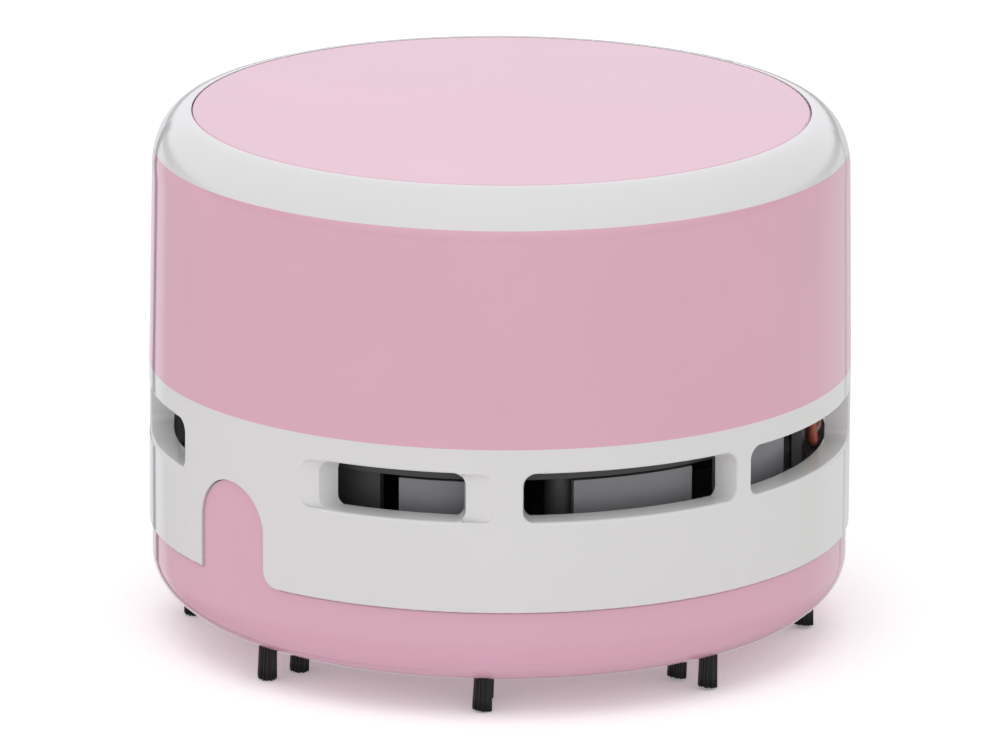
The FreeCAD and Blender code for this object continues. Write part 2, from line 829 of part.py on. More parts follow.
def impeller():
    """Fan wheel with backward-swept blades under its disc."""
    disc_top = deck_bottom - impeller_deck_gap
    disc_bottom = disc_top - impeller_disc
    blade_bottom = disc_bottom - blade_height
    parts = [rod(impeller_radius, disc_bottom, disc_top),
             rod(impeller_hub_radius, blade_bottom, disc_top + impeller_hub_rise)]
    tip = impeller_radius - blade_tip_inset
    middle_radius = (blade_inner_radius + tip) / 2
    line = [polar(blade_inner_radius, 0), polar(middle_radius, blade_bow), polar(tip, blade_sweep)]
    run = line[2] - line[0]
    half = Vec(-run.y, run.x, 0).normalize() * (blade_thickness / 2)
    sides = [[point + half for point in line], [point - half for point in line]]
    edges = [
        Part.Arc(*sides[0]).toShape(),
        Part.makeLine(sides[0][2], sides[1][2]),
        Part.Arc(*reversed(sides[1])).toShape(),
        Part.makeLine(sides[1][0], sides[0][0]),
    ]
    blade = Part.Face(Part.Wire(edges)).extrude(Vec(0, 0, blade_height + impeller_disc / 2))
    blade.translate(Vec(0, 0, blade_bottom))
    step = FULL_TURN / blade_count
    parts += [turned_about_z(blade, step * k) for k in range(blade_count)]
    bore = rod(shaft_radius + shaft_gap, blade_bottom - overrun, deck_top)
    return without(union(parts), [bore])


def motor_shaft():
    """Motor shaft, from the impeller's hub to the end cap's bearing."""
    low = deck_bottom - impeller_deck_gap - impeller_disc - blade_height
    return rod(shaft_radius, low, can_top + shaft_tail)


def can_form(inset, low, high):
    """Round body with two flats, the section of the motor can."""
    body = rod(can_radius - inset, low, high)
    flat = can_flat - inset
    return body.common(block((-can_radius, -flat, low), (can_radius, flat, high)))


def motor_can():
    """Steel can of the motor with its nose."""
    can = can_form(0, motor_bottom, can_top)
    nose = rod(nose_radius, motor_bottom - nose_length, motor_bottom + can_wall)
    inside = can_form(can_wall, motor_bottom + can_wall, can_top + overrun)
    bore = rod(bush_radius + shaft_gap, motor_bottom - nose_length - overrun, can_top)
    cutters = [inside, bore]
    for side in (-1, 1):
        cutters.append(rod(motor_screw_radius + screw_gap, motor_bottom - overrun,
                           motor_bottom + can_wall + overrun, Vec(side * motor_screw_spread, 0, 0)))
    return without(union([can, nose]), cutters)


def shaft_bush():
    """Bronze bush in the motor's nose."""
    low = motor_bottom - nose_length
    return tube(bush_radius, shaft_radius + shaft_gap, low, low + bush_length)


def motor_magnets():
    """Two curved magnets on the can's round sides."""
    outer = can_radius - can_wall - shaft_gap
    low = motor_bottom + bush_length
    ring = tube(outer, outer - magnet_thickness, low, low + magnet_length)
    half = can_flat - can_wall - shaft_gap
    halves = []
    for side in (-1, 1):
        ends = sorted((side * (outer - magnet_thickness) / 2, side * can_radius))
        halves.append(ring.common(block((ends[0], -half, low), (ends[1], half, low + magnet_length))))
    return Part.makeCompound(halves)


def armature_core():
    """Three-pole armature on the shaft."""
    radius = can_radius - can_wall - shaft_gap - magnet_thickness - magnet_gap
    radius = min(radius, can_flat - can_wall - magnet_gap)
    low = motor_bottom + bush_length + (magnet_length - armature_length) / 2
    core = rod(radius, low, low + armature_length)
    cutters = [rod(shaft_radius + shaft_gap, low - overrun, can_top)]
    step = FULL_TURN / armature_poles
    for k in range(armature_poles):
        slot = block((-armature_slot / 2, -radius - overrun, low - overrun),
                     (armature_slot / 2, -radius + armature_slot_depth, low + armature_length + overrun))
        cutters.append(turned_about_z(slot, step * k))
    return without(core, cutters)


def commutator():
    """Commutator below the end cap."""
    high = can_top - seat_gap
    return tube(commutator_radius, shaft_radius + shaft_gap, high - commutator_length, high)


def motor_end_cap():
    """Plastic end cap of the motor with its blind shaft bearing."""
    cap = can_form(0, can_top, end_cap_top)
    bearing = rod(shaft_radius + shaft_gap, can_top - overrun, can_top + shaft_tail + seat_gap)
    cutters = [bearing]
    for side in (-1, 1):
        cutters.append(terminal(side, screw_gap))
    return without(cap, cutters)


def terminal(side, gap):
    """Brass strip that stands in the end cap beside its flat, grown by a gap."""
    near = can_flat - terminal_inset
    ends = sorted((side * (near + gap), side * (near - terminal_thickness - gap)))
    half = terminal_width / 2 + gap
    return block((-half, ends[0], end_cap_top - terminal_depth - gap),
                 (half, ends[1], end_cap_top + terminal_rise))


def motor_terminals():
    """The motor's two terminals."""
    return Part.makeCompound([terminal(side, 0) for side in (-1, 1)])


def cell(side):
    """One AA cell lying along X, its nub towards +X on the -Y side and back again on the other."""
    along = -side
    can_start = Vec(-along * cell_half, side * cell_spread, cell_height)
    way = Vec(along, 0, 0)
    body = Part.makeCylinder(cell_radius, cell_length, can_start, way)
    rims = [item for item in body.Edges if item.Curve.TypeId == "Part::GeomCircle"]
    body = body.makeFillet(cell_edge_radius, rims)
    nub_start = can_start + way * (cell_length - cell_edge_radius)
    nub = Part.makeCylinder(nub_radius, nub_length + cell_edge_radius, nub_start, way)
    return union([body, nub])


def battery_tray():
    """Tray with two troughs for the cells, standing on the deck by its four legs."""
    parts = []
    cutters = []
    for side in (-1, 1):
        ends = sorted((side * tray_inner_side, side * tray_outer_side))
        parts.append(block((-tray_outside, ends[0], tray_bottom),
                           (tray_outside, ends[1], cell_height + tray_rise)))
        round_start = Vec(-tray_inside, side * cell_spread, cell_height)
        bed = cell_radius + tray_gap
        cutters.append(Part.makeCylinder(bed, tray_inside * 2, round_start, Vec(1, 0, 0)))
        middle = side * cell_spread
        cutters.append(block((-tray_inside, middle - bed, cell_height),
                             (tray_inside, middle + bed, case_top)))
    web = block((-tray_outside, -tray_inner_side - tray_wall / 2, tray_bottom),
                (tray_outside, tray_inner_side + tray_wall / 2, tray_bottom + tray_floor))
    parts.append(web)
    for end in (-1, 1):
        span = sorted((end * tray_inside, end * tray_outside))
        parts.append(block((span[0], -tray_outer_side, tray_bottom),
                           (span[1], tray_outer_side, cell_height + tray_end_rise)))
        for side in (-1, 1):
            feet = sorted((side * (tray_outer_side - tray_leg_width), side * tray_outer_side))
            parts.append(block((span[0], feet[0], deck_top),
                               (span[1], feet[1], tray_bottom + tray_floor)))
            cutters.append(tag_slot(end, side))
    bridge_side = cell_spread + contact_width / 2 + tray_gap
    bridge_low = cell_height - contact_height / 2 - tray_gap
    cutters.append(block((contact_face - tray_gap, -bridge_side, bridge_low),
                         (tray_inside, bridge_side, case_top)))
    well_side = tray_inner_side + slip_gap
    cutters.append(block((-can_radius - slip_gap, -can_flat - slip_gap, deck_top),
                         (can_radius + slip_gap, can_flat + slip_gap, case_top)))
    cutters.append(block((-lead_bend, -well_side, tray_bottom - overrun),
                         (lead_bend, well_side, tray_bottom + tray_floor + overrun)))
    tray = union(parts).common(rod(tray_radius, deck_top, case_top))
    return without(tray, cutters)


def tag_slot(end, side):
    """Slot in the tray's end wall for a contact's tag."""
    middle = side * cell_spread
    half = contact_tag_width / 2 + screw_gap
    span = sorted((end * (tray_inside - overrun), end * (tray_outside + overrun)))
    level = cell_height - contact_tag_drop
    return block((span[0], middle - half, level - screw_gap),
                 (span[1], middle + half, level + contact_thickness + screw_gap))


def contact_pad(end, side, reach):
    """Pad of a contact that bears on a cell's end."""
    start = Vec(end * contact_face, side * cell_spread, cell_height)
    return Part.makeCone(contact_pad_radius, contact_tip_radius, reach, start, Vec(-end, 0, 0))


def contact_plate(end, low_y, high_y):
    """Nickel sheet against the tray's end wall."""
    span = sorted((end * contact_face, end * tray_inside))
    half = contact_height / 2
    return block((span[0], low_y, cell_height - half), (span[1], high_y, cell_height + half))


def bridge_contact():
    """Contact on the +X side that joins the two cells."""
    reach = cell_spread + contact_width / 2
    parts = [contact_plate(1, -reach, reach)]
    parts += [contact_pad(1, side, contact_bed - screw_gap) for side in (-1, 1)]
    return union(parts)


def tagged_contact(side):
    """Contact on the -X side of one cell, with the tag that its lead is soldered to."""
    middle = side * cell_spread
    half = contact_width / 2
    level = cell_height - contact_tag_drop
    plate = contact_plate(-1, middle - half, middle + half)
    tag = block((-tray_outside - contact_tag, middle - contact_tag_width / 2, level),
                (-contact_face, middle + contact_tag_width / 2, level + contact_thickness))
    return union([plate, tag, contact_pad(-1, side, contact_bed - screw_gap)])


def switch_plate_face():
    """Distance from the axis of the face where the switch's plate meets its posts."""
    return pad_face() - switch_post_height


def switch_plate():
    """Steel plate that fastens the switch behind its window."""
    middle = switch_middle()
    face = switch_plate_face()
    half_height = switch_body_height / 2
    plate = block((-switch_pad_half_width, face - switch_plate_thickness, middle - half_height),
                  (switch_pad_half_width, face, middle + half_height))
    cutters = [switch_slot(0)]
    for side in (-1, 1):
        place = Vec(side * switch_post_spread, face - switch_plate_thickness - overrun, middle)
        cutters.append(Part.makeCylinder(switch_screw_radius + screw_gap,
                                         switch_plate_thickness + overrun * 2, place, Vec(0, 1, 0)))
    return without(plate, cutters)


def switch_slot(depth):
    """Slot for the knob's peg through the plate and to a depth in the switch body."""
    middle = switch_middle()
    half_width = (switch_travel + knob_peg) / 2 + slip_gap
    half_height = knob_peg / 2 + slip_gap
    face = switch_plate_face()
    return block((-half_width, face - switch_plate_thickness - depth, middle - half_height),
                 (half_width, face + overrun, middle + half_height))


def switch_body():
    """Black body of the slide switch."""
    middle = switch_middle()
    face = switch_plate_face() - switch_plate_thickness
    half_height = switch_body_height / 2
    half_width = switch_body_width / 2
    body = block((-half_width, face - switch_body_depth, middle - half_height),
                 (half_width, face, middle + half_height))
    return without(body, [switch_slot(knob_peg_length + slip_gap)])


def switch_terminals():
    """Three tags on the back of the switch."""
    middle = switch_middle()
    back = switch_plate_face() - switch_plate_thickness - switch_body_depth
    half = switch_pin_width / 2
    thick = switch_pin_thickness / 2
    places = [switch_pin_spread * (k - (switch_pin_count - 1) / 2) for k in range(switch_pin_count)]
    return Part.makeCompound([
        block((x - half, back - switch_pin_length, middle - thick), (x + half, back, middle + thick))
        for x in places])


def switch_screws():
    """Two screws that hold the switch's plate."""
    shape = screw(switch_screw_radius, switch_screw_length, switch_screw_head,
                  switch_screw_head_height)
    shape.rotate(Vec(0, 0, 0), Vec(1, 0, 0), -QUARTER_TURN)
    face = switch_plate_face() - switch_plate_thickness
    copies = []
    for side in (-1, 1):
        copy = shape.copy()
        copy.translate(Vec(side * switch_post_spread, face, switch_middle()))
        copies.append(copy)
    return Part.makeCompound(copies)


def switch_knob():
    """Ribbed sliding knob, at the off end of its travel."""
    middle = switch_middle()
    rest_x = -switch_travel / 2
    half = knob_width / 2
    half_height = switch_window_height / 2 - switch_window_margin
    inner = pad_face() - slip_gap
    cap = block((rest_x - half, inner - knob_flange_thickness / 2, middle - half_height),
                (rest_x + half, case_radius, middle + half_height))
    corners = [item for item in cap.Edges
               if abs(item.Vertexes[0].Y - item.Vertexes[-1].Y) > overrun]
    cap = cap.makeFillet(knob_corner_radius, corners)
    cap = cap.common(rod(case_radius - knob_recess, shell_top, band_top))
    pitch = knob_width / (knob_groove_count + 1)
    groove_half = pitch * knob_groove_share / 2
    groove_reach = half_height + overrun
    grooves = []
    for k in range(knob_groove_count):
        x = rest_x - half + pitch * (k + 1)
        groove = block((x - groove_half, case_radius - knob_groove_depth, middle - groove_reach),
                       (x + groove_half, case_radius, middle + groove_reach))
        grooves.append(groove)
    flange_half = half + knob_flange_overlap
    flange_tall = half_height + knob_flange_overlap
    flange = block((rest_x - flange_half, inner - knob_flange_thickness, middle - flange_tall),
                   (rest_x + flange_half, inner, middle + flange_tall))
    peg_end = switch_plate_face() - switch_plate_thickness - knob_peg_length
    peg = block((rest_x - knob_peg / 2, peg_end, middle - knob_peg / 2),
                (rest_x + knob_peg / 2, inner - knob_flange_thickness / 2, middle + knob_peg / 2))
    return union([without(cap, grooves), flange, peg])


def case_screws():
    """Four long screws that hold the inlet plate, deck, shell, band and cap ring together."""
    shape = screw(case_screw_radius, case_screw_length, screw_head_radius, screw_head_height)
    copies = []
    for azimuth in post_places:
        copy = shape.copy()
        copy.translate(polar(post_circle, azimuth, plate_bottom))
        copies.append(copy)
    return Part.makeCompound(copies)


def motor_screws():
    """Two screws that hold the motor on the deck."""
    length = deck_thickness + motor_screw_grip
    shape = screw(motor_screw_radius, length, motor_screw_head, motor_screw_head_height)
    copies = []
    for side in (-1, 1):
        copy = shape.copy()
        copy.translate(Vec(side * motor_screw_spread, 0, deck_bottom))
        copies.append(copy)
    return Part.makeCompound(copies)


def lead(points):
    """Round lead along straight runs joined by tangent arcs."""
    edges = []
    start = points[0]
    for before, corner, after in zip(points, points[1:], points[2:]):
        arrive = (corner - before).normalize()
        leave = (after - corner).normalize()
        turn = arrive.getAngle(leave)
        nearest = min(before.distanceToPoint(corner), corner.distanceToPoint(after))
        room = nearest * lead_bend_share
        radius = min(lead_bend, room / math.tan(turn / 2))
        back = radius * math.tan(turn / 2)
        first = corner - arrive * back
        last = corner + leave * back
        inward = (leave - arrive).normalize()
        centre = corner + inward * (radius / math.cos(turn / 2))
        edges.append(Part.makeLine(start, first))
        edges.append(Part.Arc(first, centre - inward * radius, last).toShape())
        start = last
    edges.append(Part.makeLine(start, points[-1]))
    path = Part.Wire(edges)
    way = (points[1] - points[0]).normalize()
    section = Part.Wire(Part.makeCircle(lead_radius, points[0], way))
    shell = Part.BRepOffsetAPI.MakePipeShell(path)
    shell.add(section)
    shell.build()
    shell.makeSolid()
    return shell.shape()


def tag_end(side):
    """Where a lead is soldered to a contact's tag."""
    reach = tray_outside + contact_tag + screw_gap + lead_radius
    return Vec(-reach, side * cell_spread, cell_height - contact_tag_drop)


def motor_end(side):
    """The last points of a lead that climbs beside the motor to its terminal."""
    lane = side * (can_flat + tray_inner_side) / 2
    top = end_cap_top + terminal_rise / 2
    tip = side * (can_flat - terminal_inset + screw_gap)
    return [Vec(0, lane, under_tray()), Vec(0, lane, top), Vec(0, tip, top)]


def under_tray():
    """Height at which the leads pass under the tray, over the motor's collar."""
    return (deck_top + collar_height + tray_bottom) / 2


def switch_end(side):
    """Where a lead comes up under an outer tag of the switch."""
    back = switch_plate_face() - switch_plate_thickness - switch_body_depth
    return Vec(side * switch_pin_spread, back - switch_pin_length / 2,
               switch_middle() - switch_pin_thickness / 2 - screw_gap)


def wall_level():
    """Height of the leads' lane along the band, over the shell's neck."""
    return shell_top + neck_height + lead_lane_gap + lead_radius * 2


def wall_walk(azimuths):
    """Points of the leads' lane along the inside of the band."""
    lane = band_bore - lead_lane_gap - lead_radius
    return [polar(lane, azimuth, wall_level()) for azimuth in azimuths]


def blue_lead():
    """Lead from the negative contact to the motor's +Y terminal."""
    start = tag_end(-1)
    low = under_tray()
    finish = motor_end(1)
    turn_in = Vec(-blue_lead_turn, finish[0].y, low)
    return lead([start, Vec(start.x, start.y, low), turn_in] + finish)


def red_battery_lead():
    """Lead from the positive contact round the tray to the switch."""
    start = tag_end(1)
    finish = switch_end(-1)
    walk = wall_walk(battery_lead_angles)
    return lead([start, Vec(start.x, start.y, wall_level())] + walk
                + [Vec(finish.x, finish.y, wall_level()), finish])


def red_motor_lead():
    """Lead from the switch round the case, dipping below the deck, to the motor's -Y terminal."""
    start = switch_end(1)
    low = parting + lead_dip_height
    near, far = lead_dip_angles
    points = [start, Vec(start.x, start.y, wall_level())]
    points += wall_walk(motor_lead_angles)
    points += [polar(lead_dip_circle, far, wall_level()), polar(lead_dip_circle, far, low),
               polar(lead_dip_circle, near, low), polar(lead_dip_circle, near, under_tray())]
    return lead(points + motor_end(-1))


nodes = {
    "dust_base": dust_base(),
    "suction_nozzle": suction_nozzle(),
    "outer_bristle_tufts": tufts(outer_tuft_circle),
    "inner_bristle_tufts": tufts(inner_tuft_circle),
    "release_tab_left": release_tab(),
    "release_tab_right": turned_about_z(release_tab(), HALF_TURN),
    "vented_shell": lower_shell(),
    "body_band": body_band(),
    "cap_ring": cap_ring(),
    "top_lid": top_lid(),
    "motor_deck": motor_deck(),
    "inlet_plate": inlet_plate(),
    "filter_frame": filter_frame(),
    "filter_cloth": filter_cloth_disc(),
    "impeller": impeller(),
    "motor_shaft": motor_shaft(),
    "armature_core": armature_core(),
    "commutator": commutator(),
    "motor_can": motor_can(),
    "shaft_bush": shaft_bush(),
    "motor_magnets": motor_magnets(),
    "motor_end_cap": motor_end_cap(),
    "motor_terminals": motor_terminals(),
    "battery_tray": battery_tray(),
    "aa_cell_front": cell(-1),
    "aa_cell_back": cell(1),
    "bridge_contact": bridge_contact(),
    "negative_contact": tagged_contact(-1),
    "positive_contact": tagged_contact(1),
    "switch_knob": switch_knob(),
    "switch_plate": switch_plate(),
    "switch_body": switch_body(),
    "switch_terminals": switch_terminals(),
    "switch_screws": switch_screws(),
    "case_screws": case_screws(),
    "motor_screws": motor_screws(),
    "blue_lead": blue_lead(),
    "red_battery_lead": red_battery_lead(),
    "red_motor_lead": red_motor_lead(),
}

for name, shape in nodes.items():
    shape.exportStep("parts/" + name + ".step")
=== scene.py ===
import json
import math
import random

import bpy
from mathutils import Matrix, Vector


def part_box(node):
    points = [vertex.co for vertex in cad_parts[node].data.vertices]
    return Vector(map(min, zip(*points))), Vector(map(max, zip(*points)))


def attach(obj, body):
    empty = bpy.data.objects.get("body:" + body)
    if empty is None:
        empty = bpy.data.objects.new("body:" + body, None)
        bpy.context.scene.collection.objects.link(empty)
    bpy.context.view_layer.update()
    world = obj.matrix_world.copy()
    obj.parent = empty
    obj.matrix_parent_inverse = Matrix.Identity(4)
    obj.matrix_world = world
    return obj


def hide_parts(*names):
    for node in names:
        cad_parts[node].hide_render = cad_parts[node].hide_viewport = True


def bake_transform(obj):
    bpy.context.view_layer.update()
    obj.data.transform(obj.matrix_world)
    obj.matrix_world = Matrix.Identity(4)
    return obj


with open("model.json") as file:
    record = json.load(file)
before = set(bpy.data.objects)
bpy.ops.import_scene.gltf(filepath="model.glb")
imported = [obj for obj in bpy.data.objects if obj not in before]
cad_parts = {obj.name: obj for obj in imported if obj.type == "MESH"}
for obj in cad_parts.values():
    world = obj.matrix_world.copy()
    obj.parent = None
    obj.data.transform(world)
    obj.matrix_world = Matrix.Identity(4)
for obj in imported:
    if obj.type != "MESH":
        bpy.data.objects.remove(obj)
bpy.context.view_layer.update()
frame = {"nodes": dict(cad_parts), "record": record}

# A desktop mini vacuum cleaner on a white floor. All lengths are in metres, in the frame's own
# axes: +Z is up, the release tabs are on -X and +X. Azimuths are in degrees from -Y towards +X.

# Camera, as seen in the photograph
VIEW_AZIMUTH = -41.1
VIEW_ELEVATION = 15.357
VIEW_DISTANCE = 1.24995
VIEW_ROLL = 0.3303
VIEW_TARGET = Vector((0, 0, 0.03127))
SENSOR_WIDTH = 36.0
LENS = 368.69
CLIP_END = 50.0

# Surroundings
WORLD_LIGHT = 0.82
WORLD_WHITE = 1.0
FLOOR_HALF = 6.0
FLOOR_ALBEDO = 0.90
FLOOR_LIFT = 0.22
TOP_LIGHT_POWER = 2.9
TOP_LIGHT_SIZE = 0.9
TOP_LIGHT_HEIGHT = 0.9
TOP_LIGHT_AZIMUTH = -60.0
TOP_LIGHT_OUT = 0.25

# What gloss sees, by the share of the half turn from straight behind the object to the camera's
# side, on the left and on the right, then by height: the horizon's dark band and the bright part
GLOSS_LEFT = ((0.0, (0.80, 0.83, 0.88)), (0.098, (0.80, 0.83, 0.88)), (0.100, (0.05, 0.07, 0.08)),
              (0.130, (0.05, 0.07, 0.08)), (0.134, (0.86, 0.90, 0.95)), (0.175, (0.84, 0.87, 0.91)),
              (0.205, (0.58, 0.53, 0.55)), (0.400, (0.62, 0.56, 0.55)), (1.0, (0.55, 0.55, 0.55)))
GLOSS_RIGHT = ((0.0, (0.68, 0.70, 0.70)), (0.115, (0.68, 0.70, 0.70)), (0.118, (0.30, 0.31, 0.31)),
               (0.127, (0.30, 0.31, 0.31)), (0.130, (0.70, 0.76, 0.74)), (0.240, (0.66, 0.74, 0.71)),
               (0.300, (0.52, 0.60, 0.56)), (0.450, (0.50, 0.52, 0.51)), (1.0, (0.55, 0.55, 0.55)))
GLOSS_HORIZON = ((0.25, (0.45, 0.40, 0.42)), (0.335, (1.0, 1.0, 1.0)), (0.475, (1.0, 1.0, 1.0)),
                 (0.49, (0.35, 0.35, 0.35)), (0.525, (0.35, 0.35, 0.35)), (0.55, (1.0, 1.0, 1.0)))
GLOSS_ABOVE = ((0.53, (0.0, 0.0, 0.0)), (0.58, (1.0, 1.0, 1.0)))
GLOSS_TOP = (1.15, 1.14, 1.22)

# Bristle tufts, as the frame places them
TUFT_COUNT = 8
TUFT_PHASE = 1.2
TUFT_CIRCLES = {"outer_bristle_tufts": 0.0375, "inner_bristle_tufts": 0.0323}
TUFT_RADIUS = 0.00115
FILAMENT_RADIUS = 0.00012
FILAMENT_COUNT = 110
FILAMENT_SIDES = 5
FILAMENT_RINGS = 5
FILAMENT_SEED = 11
TUFT_LEAN = 0.00020
TUFT_LEAN_SPREAD = 0.00006
TUFT_FLARE = 1.09
TUFT_SLOPES = (0.12, 0.26)
TUFT_RAGGEDNESS = 0.00010
TUFT_ROOT_SHARE = 0.97
TUFT_SLANT_SPREAD = 25
FILAMENT_BEND = 0.00003

# The cells' jackets end short of the cells, by distance from the case's middle
JACKET_REACH = 0.0236

# The part of a noise's range that counts, since its ends are seldom reached
NOISE_LOW = 0.3
NOISE_HIGH = 0.7

# Root of the release tabs, as the frame places it, and the skin that covers its hairline gap
TAB_WIDTH = 0.0113
TAB_ROOT_FILLET = 0.0022
PARTING = 0.0137
BASE_RADIUS = 0.04245
SKIN_PROUD = 0.000015
SKIN_SINK = 0.00003
SKIN_DEPTH = 0.0004
SKIN_BELOW = 0.00030
SKIN_ABOVE = 0.00020
SKIN_COLUMNS = 48
SKIN_ROWS = 8


def polar(radius, azimuth, height=0.0):
    """Point at a radius and an azimuth in degrees, at a height."""
    angle = math.radians(azimuth)
    return Vector((radius * math.sin(angle), -radius * math.cos(angle), height))


# Node helpers

def new_material(name):
    """Empty node material with its output node."""
    material = bpy.data.materials.new(name)
    material.use_nodes = True
    tree = material.node_tree
    tree.nodes.clear()
    return material, tree, tree.nodes.new("ShaderNodeOutputMaterial")


def add(tree, kind, **settings):
    """Node of a kind, with its properties set."""
    node = tree.nodes.new(kind)
    for key, value in settings.items():
        setattr(node, key, value)
    return node


def principled(tree, output):
    """Principled shader as the surface of a material."""
    shader = add(tree, "ShaderNodeBsdfPrincipled")
    tree.links.new(shader.outputs["BSDF"], output.inputs["Surface"])
    return shader


def noise(tree, scale, detail=2.0, roughness=0.5, stretch=(1, 1, 1)):
    """Noise in object space. Scale is in cells per metre."""
    place = add(tree, "ShaderNodeTexCoord")
    mapping = add(tree, "ShaderNodeMapping")
    mapping.inputs["Scale"].default_value = stretch
    texture = add(tree, "ShaderNodeTexNoise")
    texture.inputs["Scale"].default_value = scale
    texture.inputs["Detail"].default_value = detail
    texture.inputs["Roughness"].default_value = roughness
    tree.links.new(place.outputs["Object"], mapping.inputs["Vector"])
    tree.links.new(mapping.outputs["Vector"], texture.inputs["Vector"])
    return texture.outputs["Fac"]


def between(tree, value, low, high):
    """Map a noise onto a range."""
    node = add(tree, "ShaderNodeMapRange")
    node.inputs["From Min"].default_value = NOISE_LOW
    node.inputs["From Max"].default_value = NOISE_HIGH
    node.inputs["To Min"].default_value = low
    node.inputs["To Max"].default_value = high
    tree.links.new(value, node.inputs["Value"])
    return node.outputs["Result"]


def blend_colours(tree, value, first, second):
    """Colour between two by a 0 to 1 value."""
    node = add(tree, "ShaderNodeMix", data_type="RGBA")
    node.inputs["A"].default_value = (*first, 1)
    node.inputs["B"].default_value = (*second, 1)
    tree.links.new(value, node.inputs["Factor"])
    return node.outputs["Result"]


def bump(tree, shader, height, distance, strength=1.0):
    """Bump of a height in metres on a shader."""
    node = add(tree, "ShaderNodeBump")
    node.inputs["Strength"].default_value = strength
    node.inputs["Distance"].default_value = distance
    tree.links.new(height, node.inputs["Height"])
    tree.links.new(node.outputs["Normal"], shader.inputs["Normal"])


def shade(colour, factor):
    """Colour made lighter or darker."""
    return tuple(min(1.0, part * factor) for part in colour)


def moulded(name, colour, roughness, spread, vary, grain=900.0, relief=0.0):
    """Moulded surface: faint shifts of tone, patches of roughness and a fine relief."""
    material, tree, output = new_material(name)
    shader = principled(tree, output)
    tone = between(tree, noise(tree, 60.0, 3.0), 0.0, 1.0)
    colours = blend_colours(tree, tone, shade(colour, 1 - vary), shade(colour, 1 + vary))
    tree.links.new(colours, shader.inputs["Base Color"])
    patches = between(tree, noise(tree, 220.0, 4.0), roughness - spread, roughness + spread)
    tree.links.new(patches, shader.inputs["Roughness"])
    if relief:
        bump(tree, shader, noise(tree, grain, 2.0), relief)
    return material


def fleece(name, colour):
    """Non-woven cloth: fibres in all directions."""
    material, tree, output = new_material(name)
    shader = principled(tree, output)
    shader.inputs["Roughness"].default_value = 0.9
    fibres = noise(tree, 2600.0, 6.0, 0.75, (1, 0.35, 1))
    tree.links.new(blend_colours(tree, fibres, shade(colour, 0.82), shade(colour, 1.1)),
                   shader.inputs["Base Color"])
    bump(tree, shader, fibres, 0.00012)
    return material


def brushed(name, colour, roughness, stretch):
    """Metal with fine marks along one way."""
    material, tree, output = new_material(name)
    shader = principled(tree, output)
    shader.inputs["Metallic"].default_value = 1.0
    marks = noise(tree, 1500.0, 4.0, 0.6, stretch)
    tree.links.new(blend_colours(tree, marks, shade(colour, 0.85), shade(colour, 1.1)),
                   shader.inputs["Base Color"])
    tree.links.new(between(tree, marks, roughness - 0.07, roughness + 0.07),
                   shader.inputs["Roughness"])
    bump(tree, shader, marks, 0.00002)
    return material


def cell_jacket(name, body, end):
    """Plastic jacket of a cell, with bare metal beyond both ends of the jacket."""
    material, tree, output = new_material(name)
    place = add(tree, "ShaderNodeTexCoord")
    split = add(tree, "ShaderNodeSeparateXYZ")
    along = add(tree, "ShaderNodeMath", operation="ABSOLUTE")
    past = add(tree, "ShaderNodeMath", operation="GREATER_THAN")
    past.inputs[1].default_value = JACKET_REACH
    tree.links.new(place.outputs["Object"], split.inputs["Vector"])
    tree.links.new(split.outputs["X"], along.inputs[0])
    tree.links.new(along.outputs["Value"], past.inputs[0])
    jacket = add(tree, "ShaderNodeBsdfPrincipled")
    tree.links.new(blend_colours(tree, noise(tree, 90.0), shade(body, 0.95), shade(body, 1.05)),
                   jacket.inputs["Base Color"])
    tree.links.new(between(tree, noise(tree, 300.0, 4.0), 0.2, 0.32), jacket.inputs["Roughness"])
    metal = add(tree, "ShaderNodeBsdfPrincipled")
    metal.inputs["Metallic"].default_value = 1.0
    metal.inputs["Roughness"].default_value = 0.35
    tree.links.new(blend_colours(tree, noise(tree, 700.0), shade(end, 0.9), end),
                   metal.inputs["Base Color"])
    mix = add(tree, "ShaderNodeMixShader")
    tree.links.new(past.outputs["Value"], mix.inputs["Fac"])
    tree.links.new(jacket.outputs["BSDF"], mix.inputs[1])
    tree.links.new(metal.outputs["BSDF"], mix.inputs[2])
    tree.links.new(mix.outputs["Shader"], output.inputs["Surface"])
    return material


